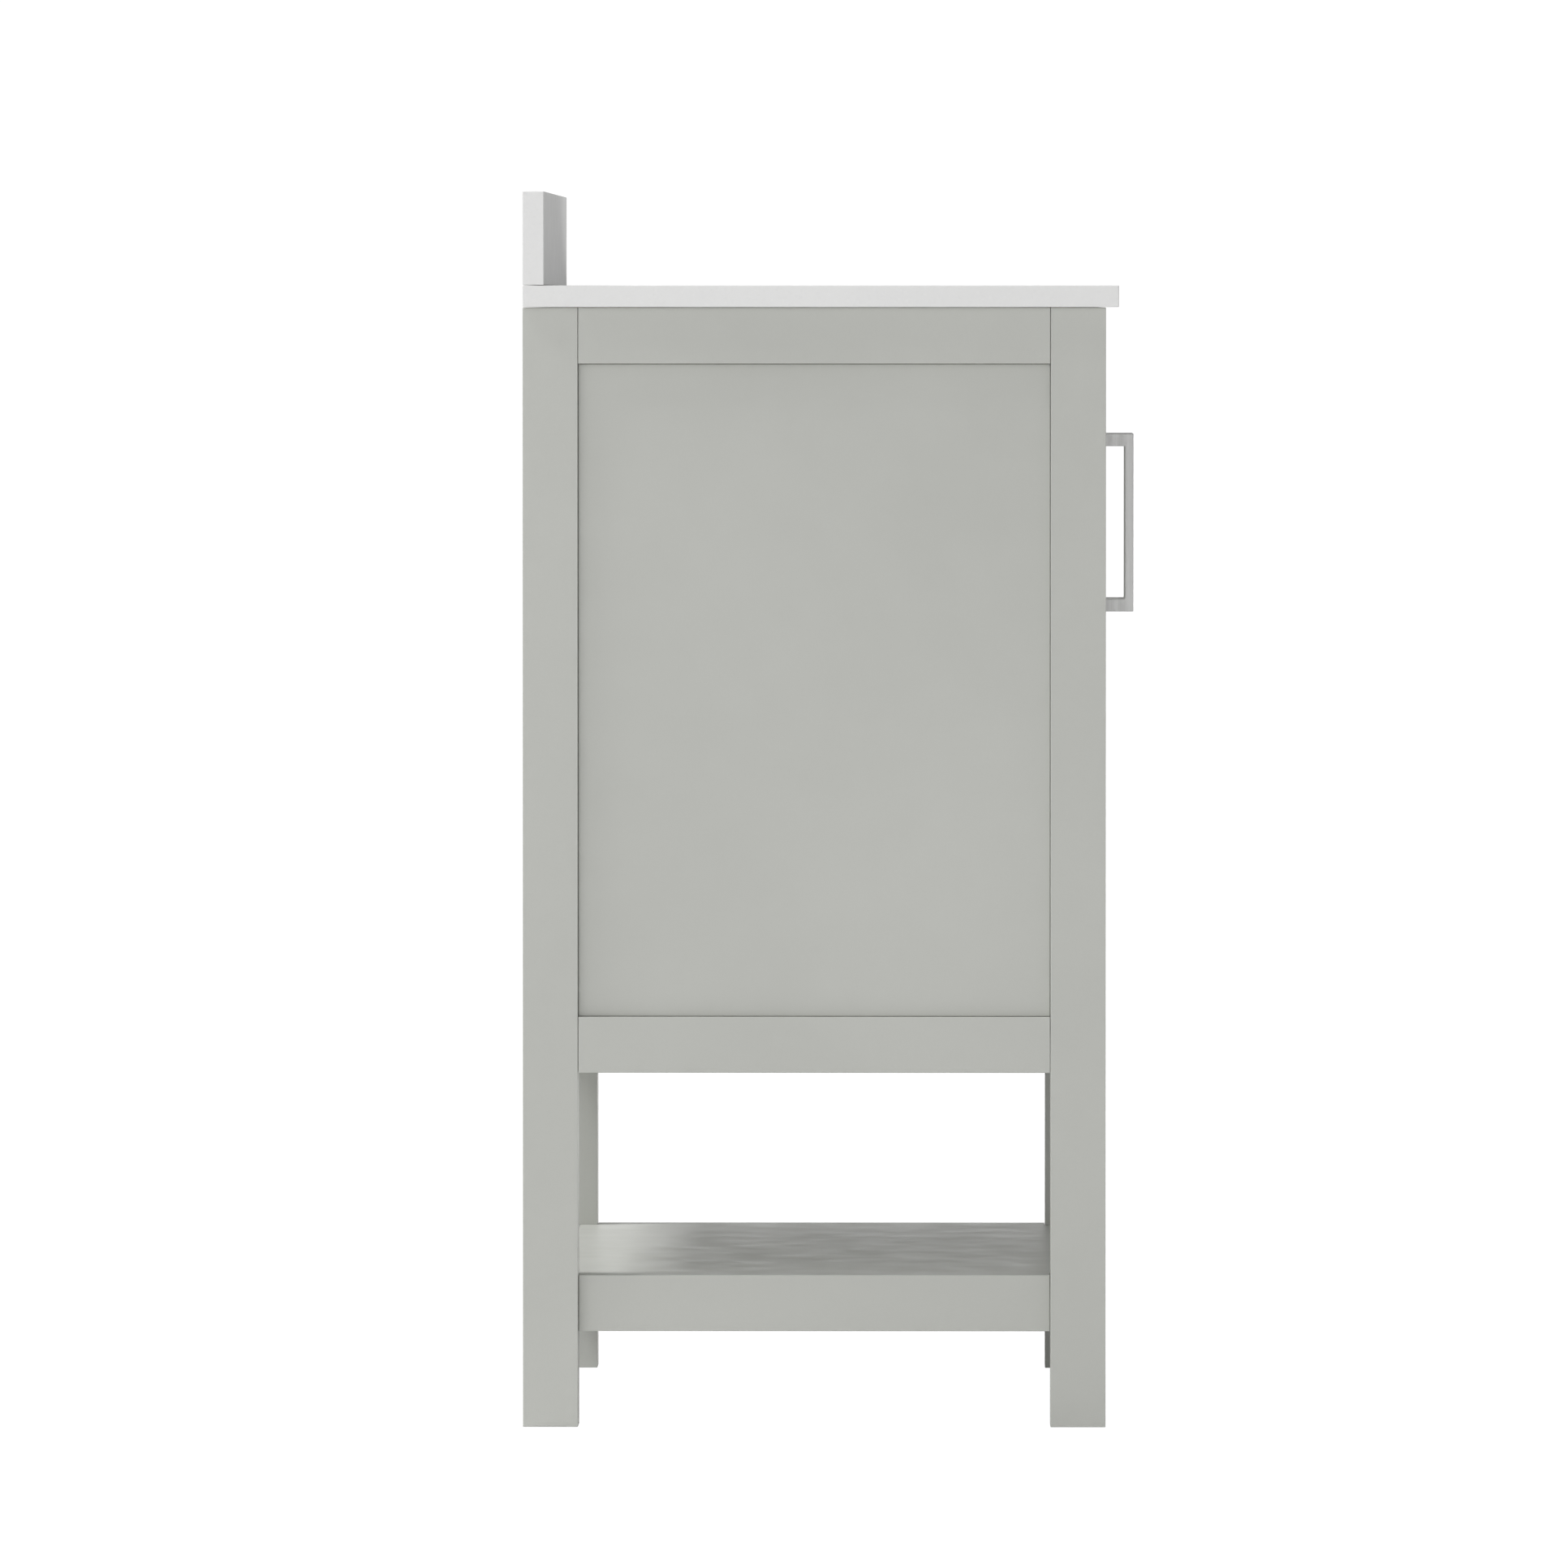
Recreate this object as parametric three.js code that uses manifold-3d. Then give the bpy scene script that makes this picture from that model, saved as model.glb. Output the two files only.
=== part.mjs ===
// Freestanding bathroom vanity: four square legs, framed sides, two inset doors on butt hinges, an open
// lower shelf, and a stone top with a backsplash and an undermount basin.
// Millimetres, +Z up. The front faces -Y and the left side faces -X.
// The origin is the centre of the footprint, on the floor.
import * as THREE from 'three';
import { mergeVertices } from 'three/addons/utils/BufferGeometryUtils.js';
import Module from 'manifold-3d';

const wasm = await Module();
wasm.setup();

// ---------- Driving dimensions ----------

// Glue line or clearance wherever two pieces meet.
const seam = 0.3;

// Cabinet frame
const cabinetWidth = 750; // across the outer faces of the legs
const cabinetDepth = 447; // front face to back face of the legs
const cabinetHeight = 858.6; // floor to the top of the legs
const legSize = 42.3; // square section
const railHeight = 43;
const boardThickness = 18; // rails, cabinet floor and shelf
const middleRailBottom = 272; // height above the floor
const shelfTop = 116; // height above the floor
const shelfRailInset = 10; // behind the outer faces of the legs
const sidePanelInset = 6;
const sidePanelThickness = 12;
const backPanelInset = 6;
const backPanelThickness = 6;
const braceReach = 55; // along each rail, past the leg
const braceThickness = 22;

// Opening for the pipes in the back panel
const plumbingWidth = 420;
const plumbingHeight = 250;
const plumbingRadius = 20;
const plumbingAboveFloorBoard = 130;

// Countertop and backsplash
const topThickness = 16.7;
const topSideOverhang = 6;
const topFrontOverhang = 9.9;
const backsplashThickness = 16.6;
const backsplashHeight = 71.7;
const faucetHoleRadius = 17.5;
const faucetHoleSpacing = 101.6;
const faucetHoleSetback = 44; // from the backsplash to the hole centres

// Basin
const basinWidth = 410; // of the opening
const basinDepth = 284; // of the opening, front to back
const basinCornerRadius = 55;
const basinSetback = 103; // from the backsplash's back face to the opening
const basinFlange = 20; // glued rim round the opening
const basinRimThickness = 12;
const basinWall = 8;
const bowlDepth = 146; // rim to drain
const drainRadius = 22.5;
const drainRimRadius = 31;
const drainNeckLength = 18;
const drainSeatDepth = 2; // from the floor round the drain down to its edge
const overflowRadius = 9;
const overflowBelowRim = 36;

// Bowl from the rim down: inset from the opening, share of the bowl's depth, and how many wall
// thicknesses the outer skin stands outwards and down from there.
const bowlProfile = [
  [4, 0.4, 1, 0],
  [10, 0.68, 1, 1],
  [22, 0.84, 1, 1],
  [45, 0.93, 0.5, 1],
];

// Doors
const doorThickness = 18;
const doorInset = 5.5; // behind the front faces of the legs
const doorGap = 2.5; // above, below and between the doors
const doorFrameWidth = 60; // stiles and rails
const doorPanelThickness = 6;
const doorPanelInset = 6;
const grooveDepth = 9;

// Hinges
const hingeHeight = 60;
const hingeFromDoorEnd = 55;
const leafThickness = 1;
const leafWidth = 15;
const pinRadius = 1.1;
const knuckleWall = 1;
const pinHeadHeight = 1.6;
const pinCrownShare = 0.6; // crown of the head, as a share of the knuckle's radius

// Handles: square bars on two posts
const handlePostSpacing = 130; // centre to centre
const handlePostThickness = 10;
const handleBarThickness = 7;
const handleWidth = 10;
const handleProjection = 30.4; // from the door's face
const handleChamfer = 0.8;
const handleBelowDoorTop = 123.6; // door's top edge to the handle's centre
const screwRadius = 2;
const screwHeadRadius = 4.2;
const screwHeadHeight = 2.4;
const screwBite = 8; // thread inside the post
const screwHoleSpare = 1; // hole past the end of the thread

// Magnetic catch and its strike plates
const catchWidth = 84;
const catchDepth = 20; // front to back
const catchUpper = 28; // above the lower edge of the front top rail
const catchLower = 16; // below it
const catchAirGap = 0.8; // to the closed strike plate
const strikeWidth = 24;
const strikeHeight = 12;
const strikeThickness = 1.5;
const strikeFromEdge = 10; // from the door's meeting edge

// Modelling: cutting shapes run past a piece, and joined shapes run into each other, by this much.
const past = 1;
const boreSides = 16; // facets of screws, bores across a wall and faucet holes
const knuckleSides = 20;
const pinSides = 12;
const cornerSteps = 8; // in each round corner of a board's outline
const basinCornerSteps = 9;

// ---------- Finishes ----------

const paint = { color: '#b5b6b1', roughness: 0.45, metalness: 0 };
const stone = { color: '#ececea', roughness: 0.22, metalness: 0 };
const ceramic = { color: '#f5f5f3', roughness: 0.08, metalness: 0 };
const nickel = { color: '#b9b8b5', roughness: 0.32, metalness: 1 };
const steel = { color: '#a5a6a8', roughness: 0.35, metalness: 1 };
const bareWood = { color: '#cbb28a', roughness: 0.7, metalness: 0 };
const catchPlastic = { color: '#e4e2dc', roughness: 0.5, metalness: 0 };

// ---------- Places that follow from the dimensions ----------

const handleReach = handleProjection - doorInset; // past the legs
const overallDepth = cabinetDepth + Math.max(handleReach, topFrontOverhang);
const backY = overallDepth / 2;
const frontY = backY - cabinetDepth;
const sideX = cabinetWidth / 2;
const legInnerX = sideX - legSize;
const topRailBottom = cabinetHeight - railHeight;
const middleRailTop = middleRailBottom + railHeight;
const topBottom = cabinetHeight + seam;
const topTop = topBottom + topThickness;
const doorBottom = middleRailTop + doorGap;
const doorTop = topRailBottom - doorGap;
const handleCentreHeight = doorTop - handleBelowDoorTop;
const doorFrontY = frontY + doorInset;
const doorBackY = doorFrontY + doorThickness;
const boreRadius = pinRadius + seam;
const knuckleRadius = boreRadius + knuckleWall;
const hingeGap = 2 * leafThickness + 3 * seam; // from the leg to the door's edge
const hingeAxisX = legInnerX - seam - knuckleRadius;
const hingeAxisY = doorFrontY - seam - knuckleRadius;

const vanity = new THREE.Group();
const cabinet = new THREE.Group();
vanity.add(cabinet);

// ---------- Shape helpers ----------

// One named piece in a group, at its place in that group.
function piece(group, name, geometry, finish, x = 0, y = 0, z = 0) {
  const mesh = new THREE.Mesh(geometry, new THREE.MeshStandardMaterial(finish));
  mesh.name = name;
  mesh.position.set(x, y, z);
  group.add(mesh);
  return mesh;
}

// A block between pairs of limits along X, Y and Z.
function block([x0, x1], [y0, y1], [z0, z1]) {
  const box = new THREE.BoxGeometry(Math.abs(x1 - x0), Math.abs(y1 - y0), Math.abs(z1 - z0));
  return box.translate((x0 + x1) / 2, (y0 + y1) / 2, (z0 + z1) / 2);
}

// A round bar from y0 to y1, parallel to Y.
function barAlongY(radius, x, [y0, y1], z) {
  return new THREE.CylinderGeometry(radius, radius, y1 - y0, boreSides).translate(x, (y0 + y1) / 2, z);
}

// A round bar from z0 to z1, parallel to Z.
function barAlongZ(radius, x, y, [z0, z1]) {
  const bar = new THREE.CylinderGeometry(radius, radius, z1 - z0, knuckleSides).rotateX(Math.PI / 2);
  return bar.translate(x, y, (z0 + z1) / 2);
}

// A profile drawn in Y and Z, carried along X and centred there.
function alongX(profile, width, chamfer = 0) {
  const settings = {
    depth: width - 2 * chamfer,
    bevelEnabled: chamfer > 0,
    bevelThickness: chamfer,
    bevelSize: chamfer,
    bevelOffset: -chamfer,
    bevelSegments: 1,
  };
  const solid = new THREE.ExtrudeGeometry(profile, settings).translate(0, 0, chamfer - width / 2);
  return solid.rotateX(Math.PI / 2).rotateZ(Math.PI / 2);
}

function polygon(points) {
  return new THREE.Shape(points.map(([u, v]) => new THREE.Vector2(u, v)));
}

// Rectangle with round corners, centred on u, v.
function roundedRectangle(width, height, radius, u, v) {
  const shape = new THREE.Shape();
  const cornerU = width / 2 - radius;
  const cornerV = height / 2 - radius;
  [[1, 1], [-1, 1], [-1, -1], [1, -1]].forEach(([signU, signV], quarter) => {
    const start = (quarter * Math.PI) / 2;
    shape.absarc(u + signU * cornerU, v + signV * cornerV, radius, start, start + Math.PI / 2);
  });
  shape.closePath();
  return shape;
}

function circle(radius, u, v) {
  return new THREE.Shape().absarc(u, v, radius, 0, 2 * Math.PI);
}

// Flat board from an outline in X and Y, with its lower face at z = 0.
function flatBoard(outline, thickness) {
  const settings = { depth: thickness, bevelEnabled: false, curveSegments: cornerSteps };
  return new THREE.ExtrudeGeometry(outline, settings);
}

function toManifold(geometry) {
  const bare = geometry.index ? geometry.toNonIndexed() : geometry.clone();
  bare.deleteAttribute('normal');
  bare.deleteAttribute('uv');
  const merged = mergeVertices(bare, 1e-3);
  const triVerts = new Uint32Array(merged.index.array);
  return new wasm.Manifold(
    new wasm.Mesh({ numProp: 3, vertProperties: merged.attributes.position.array, triVerts }),
  );
}

function toGeometry(manifold) {
  const { vertProperties, triVerts } = manifold.getMesh();
  const geometry = new THREE.BufferGeometry();
  geometry.setAttribute('position', new THREE.BufferAttribute(vertProperties, 3));
  geometry.setIndex(new THREE.BufferAttribute(triVerts, 1));
  geometry.computeVertexNormals();
  return geometry;
}

// The first shape with the others added to it.
function joined(base, ...added) {
  return toGeometry(added.reduce((sum, next) => sum.add(toManifold(next)), toManifold(base)));
}

// The first shape with the others cut from it.
function cutBy(base, ...tools) {
  return toGeometry(tools.reduce((rest, tool) => rest.subtract(toManifold(tool)), toManifold(base)));
}

// ---------- Cabinet ----------

// Limits with a seam at each end.
function inside(low, high) {
  return [low + seam, high - seam];
}

function addLegs() {
  for (const [sideName, side] of [['left', -1], ['right', 1]]) {
    const x = side * (sideX - legSize / 2);
    for (const [endName, y] of [['front', frontY + legSize / 2], ['back', backY - legSize / 2]]) {
      const leg = new THREE.BoxGeometry(legSize, legSize, cabinetHeight);
      piece(cabinet, `${sideName}_${endName}_leg`, leg, paint, x, y, cabinetHeight / 2);
    }
  }
}

// The three levels of rail: height of the lower edge, and distance behind the outer faces of the legs.
const railLevels = [
  ['top_rail', topRailBottom, 0],
  ['middle_rail', middleRailBottom, 0],
  ['shelf_rail', shelfTop - railHeight, shelfRailInset],
];

function addRails() {
  const alongDepth = inside(frontY + legSize, backY - legSize);
  const alongWidth = inside(-legInnerX, legInnerX);
  for (const [level, bottom, inset] of railLevels) {
    const heights = [bottom, bottom + railHeight];
    for (const [sideName, side] of [['left', -1], ['right', 1]]) {
      const outer = side * (sideX - inset);
      const rail = block([outer, outer - side * boardThickness], alongDepth, heights);
      piece(cabinet, `${sideName}_side_${level}`, rail, paint);
    }
    const front = block(alongWidth, [frontY + inset, frontY + inset + boardThickness], heights);
    piece(cabinet, `front_${level}`, front, paint);
    const back = block(alongWidth, [backY - inset - boardThickness, backY - inset], heights);
    piece(cabinet, `back_${level}`, back, paint);
  }
}

function addSidePanels() {
  const depths = inside(frontY + legSize, backY - legSize);
  const heights = inside(middleRailTop, topRailBottom);
  for (const [sideName, side] of [['left', -1], ['right', 1]]) {
    const outer = side * (sideX - sidePanelInset);
    const panel = block([outer, outer - side * sidePanelThickness], depths, heights);
    piece(cabinet, `${sideName}_side_panel`, panel, paint);
  }
}

// Upright board with the opening for the pipes.
function addBackPanel() {
  const width = 2 * (legInnerX - seam);
  const [bottom, top] = inside(middleRailTop, topRailBottom);
  const outline = polygon([[-width / 2, bottom], [width / 2, bottom], [width / 2, top], [-width / 2, top]]);
  const openingCentre = middleRailTop + plumbingAboveFloorBoard + plumbingHeight / 2;
  outline.holes.push(roundedRectangle(plumbingWidth, plumbingHeight, plumbingRadius, 0, openingCentre));
  const panel = piece(cabinet, 'back_panel', flatBoard(outline, backPanelThickness), paint);
  panel.rotation.x = Math.PI / 2;
  panel.position.y = backY - backPanelInset;
}

// Level board that fills the frame at one rail level and is notched round the four legs.
function addNotchedBoard(name, boardTop, railInset) {
  const edge = railInset + boardThickness + seam; // from the outer faces of the legs
  const notch = legSize + seam;
  const [x0, x1] = [edge - sideX, notch - sideX];
  const [y0, y1] = [frontY + edge, frontY + notch];
  const [y2, y3] = [backY - notch, backY - edge];
  const outline = polygon([
    [x1, y0], [-x1, y0], [-x1, y1], [-x0, y1], [-x0, y2], [-x1, y2],
    [-x1, y3], [x1, y3], [x1, y2], [x0, y2], [x0, y1], [x1, y1],
  ]);
  piece(cabinet, name, flatBoard(outline, boardThickness), paint, 0, 0, boardTop - boardThickness);
}

// Glue block in each upper corner, wrapped round the leg's inner corner.
function addCornerBraces() {
  const pocket = legSize - boardThickness - seam; // from the leg's inner faces out to the rails
  const corners = [
    [pocket, -seam], [pocket, -braceReach], [-braceReach, pocket], [-seam, pocket], [-seam, -seam],
  ];
  const bottom = cabinetHeight - braceThickness;
  for (const [sideName, side] of [['left', -1], ['right', 1]]) {
    for (const [endName, end, legFace] of [['front', -1, frontY + legSize], ['back', 1, backY - legSize]]) {
      const outline = polygon(corners.map(([u, v]) => [side * (legInnerX + u), legFace + end * v]));
      const brace = flatBoard(outline, braceThickness);
      piece(cabinet, `${sideName}_${endName}_corner_brace`, brace, bareWood, 0, 0, bottom);
    }
  }
}

// L-shaped catch: its upper part is screwed behind the front top rail, its nose hangs behind both doors.
function addCatch() {
  const noseY = doorBackY + seam + strikeThickness + catchAirGap;
  const railBackY = frontY + boardThickness + seam;
  const rearY = noseY + catchDepth;
  const profile = polygon([
    [noseY, topRailBottom - catchLower], [rearY, topRailBottom - catchLower],
    [rearY, topRailBottom + catchUpper], [railBackY, topRailBottom + catchUpper],
    [railBackY, topRailBottom + seam], [noseY, topRailBottom + seam],
  ]);
  piece(cabinet, 'magnetic_catch', alongX(profile, catchWidth), catchPlastic);
}

// ---------- Countertop, backsplash and basin ----------

const topHalfWidth = sideX + topSideOverhang;
const basinCentreY = backY - basinSetback - basinDepth / 2;

function addCountertop() {
  const outline = polygon([
    [-topHalfWidth, frontY - topFrontOverhang], [topHalfWidth, frontY - topFrontOverhang],
    [topHalfWidth, backY], [-topHalfWidth, backY],
  ]);
  outline.holes.push(roundedRectangle(basinWidth, basinDepth, basinCornerRadius, 0, basinCentreY));
  const faucetY = backY - backsplashThickness - faucetHoleSetback;
  for (const place of [-1, 0, 1]) {
    outline.holes.push(circle(faucetHoleRadius, place * faucetHoleSpacing, faucetY));
  }
  piece(cabinet, 'countertop', flatBoard(outline, topThickness), stone, 0, 0, topBottom);
}

function addBacksplash() {
  const z0 = topTop + seam;
  const depths = [backY - backsplashThickness, backY];
  const slab = block([-topHalfWidth, topHalfWidth], depths, [z0, z0 + backsplashHeight]);
  piece(cabinet, 'backsplash', slab, stone);
}

// Ring of points on a rounded rectangle, anticlockwise from above. Equal half sizes and radius make a circle.
function basinRing([halfWidth, halfDepth, radius, depth]) {
  const points = [];
  for (let i = 0; i < 4 * basinCornerSteps; i += 1) {
    const quarter = Math.floor(i / basinCornerSteps);
    const angle = ((i + 0.5) / basinCornerSteps) * (Math.PI / 2);
    const signX = quarter === 0 || quarter === 3 ? 1 : -1;
    const signY = quarter < 2 ? 1 : -1;
    const x = signX * (halfWidth - radius) + radius * Math.cos(angle);
    const y = signY * (halfDepth - radius) + radius * Math.sin(angle);
    points.push([x, y, -depth]);
  }
  return points;
}

// Skin through a closed loop of rings: each ring joins the next, and the last joins the first.
function closedLoft(rings) {
  const count = rings[0].length;
  const positions = rings.flat(2);
  const index = [];
  rings.forEach((ring, j) => {
    const here = j * count;
    const next = ((j + 1) % rings.length) * count;
    for (let i = 0; i < count; i += 1) {
      const k = (i + 1) % count;
      index.push(here + i, here + k, next + k, here + i, next + k, next + i);
    }
  });
  const geometry = new THREE.BufferGeometry();
  geometry.setAttribute('position', new THREE.Float32BufferAttribute(positions, 3));
  geometry.setIndex(index);
  return geometry;
}

// Ceramic bowl: down the inside to the drain, then up the outside to the flange.
function addBasin() {
  const ring = (grow, depth) => [
    basinWidth / 2 + grow, basinDepth / 2 + grow, basinCornerRadius + Math.max(grow, 0), depth,
  ];
  const round = (radius, depth) => [radius, radius, radius, depth];
  const insideRings = [
    ring(0, 0),
    ...bowlProfile.map(([inset, share]) => ring(-inset, share * bowlDepth)),
    round(drainRimRadius, bowlDepth - drainSeatDepth),
    round(drainRadius, bowlDepth),
  ];
  const outsideRings = [
    round(drainRadius, bowlDepth + drainNeckLength),
    round(drainRadius + basinWall, bowlDepth + drainNeckLength),
    round(drainRadius + basinWall, bowlDepth + basinWall),
    ...bowlProfile.toReversed().map(([inset, share, outwards, down]) =>
      ring(outwards * basinWall - inset, share * bowlDepth + down * basinWall)),
    ring(basinWall, basinRimThickness),
    ring(basinFlange, basinRimThickness),
    ring(basinFlange, 0),
  ];
  const bowl = closedLoft([...insideRings, ...outsideRings].map(basinRing));
  const wallY = basinDepth / 2;
  const drill = [wallY - 3 * basinWall, wallY + 2 * basinWall];
  const overflow = barAlongY(overflowRadius, 0, drill, -overflowBelowRim);
  piece(cabinet, 'basin', cutBy(bowl, overflow), ceramic, 0, basinCentreY, topBottom - seam);
}

// ---------- Doors ----------

// One door in its own group, whose Z axis is the hinge axis. "along" runs from there to the meeting edge.
function addDoor(sideName, side) {
  const door = new THREE.Group();
  door.position.set(side * hingeAxisX, hingeAxisY, 0);
  vanity.add(door);
  const across = (along) => -side * along;
  const span = (low, high) => [across(low), across(high)];

  const doorStart = hingeGap - seam - knuckleRadius;
  const doorEnd = hingeAxisX - doorGap / 2;
  const front = doorFrontY - hingeAxisY;
  const faces = [front, front + doorThickness];
  const heights = [doorBottom, doorTop];
  const stileInner = doorStart + doorFrameWidth;
  const meetingInner = doorEnd - doorFrameWidth;
  const tongue = [front + doorPanelInset, front + doorPanelInset + doorPanelThickness];
  const groove = [tongue[0] - seam, tongue[1] + seam];

  // Stiles, grooved over their whole length
  const stileGroove = (from, to) => block(span(from, to), groove, [doorBottom - past, doorTop + past]);
  const handleAlong = doorEnd - doorFrameWidth / 2;
  const screwHeights = [-1, 1].map((end) => handleCentreHeight + (end * handlePostSpacing) / 2);
  const screwHoles = screwHeights.map((z) =>
    barAlongY(screwRadius + seam, across(handleAlong), [faces[0] - past, faces[1] + past], z));
  const hingeStile = cutBy(
    block(span(doorStart, stileInner), faces, heights),
    stileGroove(stileInner - grooveDepth, stileInner + past),
  );
  const meetingStile = cutBy(
    block(span(meetingInner, doorEnd), faces, heights),
    stileGroove(meetingInner - past, meetingInner + grooveDepth),
    ...screwHoles,
  );
  piece(door, `${sideName}_door_hinge_stile`, hingeStile, paint);
  piece(door, `${sideName}_door_meeting_stile`, meetingStile, paint);

  // Rails, with a groove for the panel and a tenon in each stile
  const reach = grooveDepth - seam;
  for (const [railName, outer, toPanel] of [['top', doorTop, -1], ['bottom', doorBottom, 1]]) {
    const inner = outer + toPanel * doorFrameWidth;
    const grooveFloor = inner - toPanel * grooveDepth;
    const body = block(span(stileInner + seam, meetingInner - seam), faces, [outer, inner]);
    const railGroove = block(span(stileInner, meetingInner), groove, [grooveFloor, inner + toPanel * past]);
    const grooved = cutBy(body, railGroove);
    const tenons = block(span(stileInner - reach, meetingInner + reach), tongue, [outer, grooveFloor]);
    piece(door, `${sideName}_door_${railName}_rail`, joined(grooved, tenons), paint);
  }

  const panelHeights = [doorBottom + doorFrameWidth - reach, doorTop - doorFrameWidth + reach];
  const panel = block(span(stileInner - reach, meetingInner + reach), tongue, panelHeights);
  piece(door, `${sideName}_door_panel`, panel, paint);

  addHandle(door, sideName, across(handleAlong), front, screwHeights);
  addStrike(door, sideName, span, doorEnd, faces[1]);
  for (const [endName, bottom] of [
    ['lower', doorBottom + hingeFromDoorEnd],
    ['upper', doorTop - hingeFromDoorEnd - hingeHeight],
  ]) {
    addHinge(door, `${sideName}_${endName}_hinge`, span, doorStart, front, bottom);
  }
}

// Bar handle and its two screws, put in from behind the door.
function addHandle(door, sideName, x, front, screwHeights) {
  const foot = front - seam;
  const crown = front - handleProjection;
  const barBack = crown + handleBarThickness;
  const halfLength = (handlePostSpacing + handlePostThickness) / 2;
  const low = handleCentreHeight - halfLength;
  const high = handleCentreHeight + halfLength;
  const [gapLow, gapHigh] = [low + handlePostThickness, high - handlePostThickness];
  const profile = polygon([
    [crown, low], [foot, low], [foot, gapLow], [barBack, gapLow],
    [barBack, gapHigh], [foot, gapHigh], [foot, high], [crown, high],
  ]);
  const holeEnd = front - screwBite - screwHoleSpare;
  const holes = screwHeights.map((z) => barAlongY(screwRadius + seam, 0, [holeEnd, foot + past], z));
  const handle = cutBy(alongX(profile, handleWidth, handleChamfer), ...holes);
  piece(door, `${sideName}_handle`, handle, nickel, x);

  const headFace = front + doorThickness + seam;
  const tip = front - screwBite;
  const screwProfile = [
    [0, tip], [screwRadius, tip], [screwRadius, headFace], [screwHeadRadius, headFace],
    [screwHeadRadius, headFace + screwHeadHeight], [0, headFace + screwHeadHeight],
  ].map(([radius, y]) => new THREE.Vector2(radius, y));
  screwHeights.forEach((z, i) => {
    const screw = new THREE.LatheGeometry(screwProfile, boreSides);
    piece(door, `${sideName}_handle_screw_${i + 1}`, screw, steel, x, 0, z);
  });
}

// Steel plate that meets the magnetic catch.
function addStrike(door, sideName, span, doorEnd, doorBack) {
  const outer = doorEnd - strikeFromEdge;
  const middle = topRailBottom - catchLower / 2 - doorGap / 2;
  const plate = block(
    span(outer - strikeWidth, outer),
    [doorBack + seam, doorBack + seam + strikeThickness],
    [middle - strikeHeight / 2, middle + strikeHeight / 2],
  );
  piece(door, `${sideName}_strike_plate`, plate, steel);
}

// Butt hinge: the frame leaf has the outer two knuckles and the door leaf the middle one.
function addHinge(door, name, span, doorStart, front, bottom) {
  const third = hingeHeight / 3;
  const outerKnuckles = [
    [bottom, bottom + third - seam / 2],
    [bottom + 2 * third + seam / 2, bottom + hingeHeight],
  ];
  const middleKnuckle = [bottom + third + seam / 2, bottom + 2 * third - seam / 2];
  const bore = barAlongZ(boreRadius, 0, 0, [bottom - past, bottom + hingeHeight + past]);
  const knuckle = (heights) => barAlongZ(knuckleRadius, 0, 0, heights);
  const plateDepths = [front, front + leafWidth];
  const plateHeights = [bottom, bottom + hingeHeight];

  const frameFace = -knuckleRadius;
  const frameSpan = span(frameFace, frameFace + leafThickness);
  const frameTabs = outerKnuckles.map((heights) => block(frameSpan, [0, front + past], heights));
  const framePlate = block(frameSpan, plateDepths, plateHeights);
  const frameSolid = joined(framePlate, ...frameTabs, ...outerKnuckles.map(knuckle));
  piece(door, `${name}_frame_leaf`, cutBy(frameSolid, bore), nickel);

  const doorFace = doorStart - seam;
  const doorSpan = span(doorFace - leafThickness, doorFace);
  const wallMiddle = boreRadius + knuckleWall / 2;
  const doorTab = block(doorSpan, [wallMiddle, front + past], middleKnuckle);
  const doorSolid = joined(block(doorSpan, plateDepths, plateHeights), doorTab, knuckle(middleKnuckle));
  piece(door, `${name}_door_leaf`, cutBy(doorSolid, bore), nickel);

  const headBottom = bottom + hingeHeight + seam;
  const pinProfile = [
    [0, bottom], [pinRadius, bottom], [pinRadius, headBottom], [knuckleRadius, headBottom],
    [pinCrownShare * knuckleRadius, headBottom + pinHeadHeight], [0, headBottom + pinHeadHeight],
  ].map(([radius, z]) => new THREE.Vector2(radius, z));
  const pin = new THREE.LatheGeometry(pinProfile, pinSides).rotateX(Math.PI / 2);
  piece(door, `${name}_pin`, pin, steel);
}

addLegs();
addRails();
addSidePanels();
addBackPanel();
addNotchedBoard('cabinet_floor', middleRailTop, 0);
addNotchedBoard('lower_shelf', shelfTop, shelfRailInset);
addCornerBraces();
addCatch();
addCountertop();
addBacksplash();
addBasin();
addDoor('left', -1);
addDoor('right', 1);

export default vanity;
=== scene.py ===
import math

import bpy
import numpy as np
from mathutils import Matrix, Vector
from mathutils.geometry import tessellate_polygon


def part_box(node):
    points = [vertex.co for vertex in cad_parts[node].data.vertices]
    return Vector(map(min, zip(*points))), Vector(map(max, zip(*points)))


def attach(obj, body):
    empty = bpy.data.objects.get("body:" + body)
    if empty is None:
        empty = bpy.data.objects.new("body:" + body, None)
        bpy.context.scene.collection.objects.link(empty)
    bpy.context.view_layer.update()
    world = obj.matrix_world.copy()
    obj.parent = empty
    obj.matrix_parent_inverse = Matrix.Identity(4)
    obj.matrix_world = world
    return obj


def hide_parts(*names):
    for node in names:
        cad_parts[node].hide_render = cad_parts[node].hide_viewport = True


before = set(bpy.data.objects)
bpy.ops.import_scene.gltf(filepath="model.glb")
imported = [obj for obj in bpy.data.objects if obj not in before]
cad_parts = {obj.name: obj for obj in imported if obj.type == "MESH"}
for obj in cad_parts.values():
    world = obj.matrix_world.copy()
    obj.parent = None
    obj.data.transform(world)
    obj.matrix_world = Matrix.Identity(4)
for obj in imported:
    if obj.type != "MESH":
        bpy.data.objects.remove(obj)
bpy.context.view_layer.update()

MM = 0.001
SIDES = (("left", -1), ("right", 1))
ENDS = (("front", -1), ("back", 1))

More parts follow.
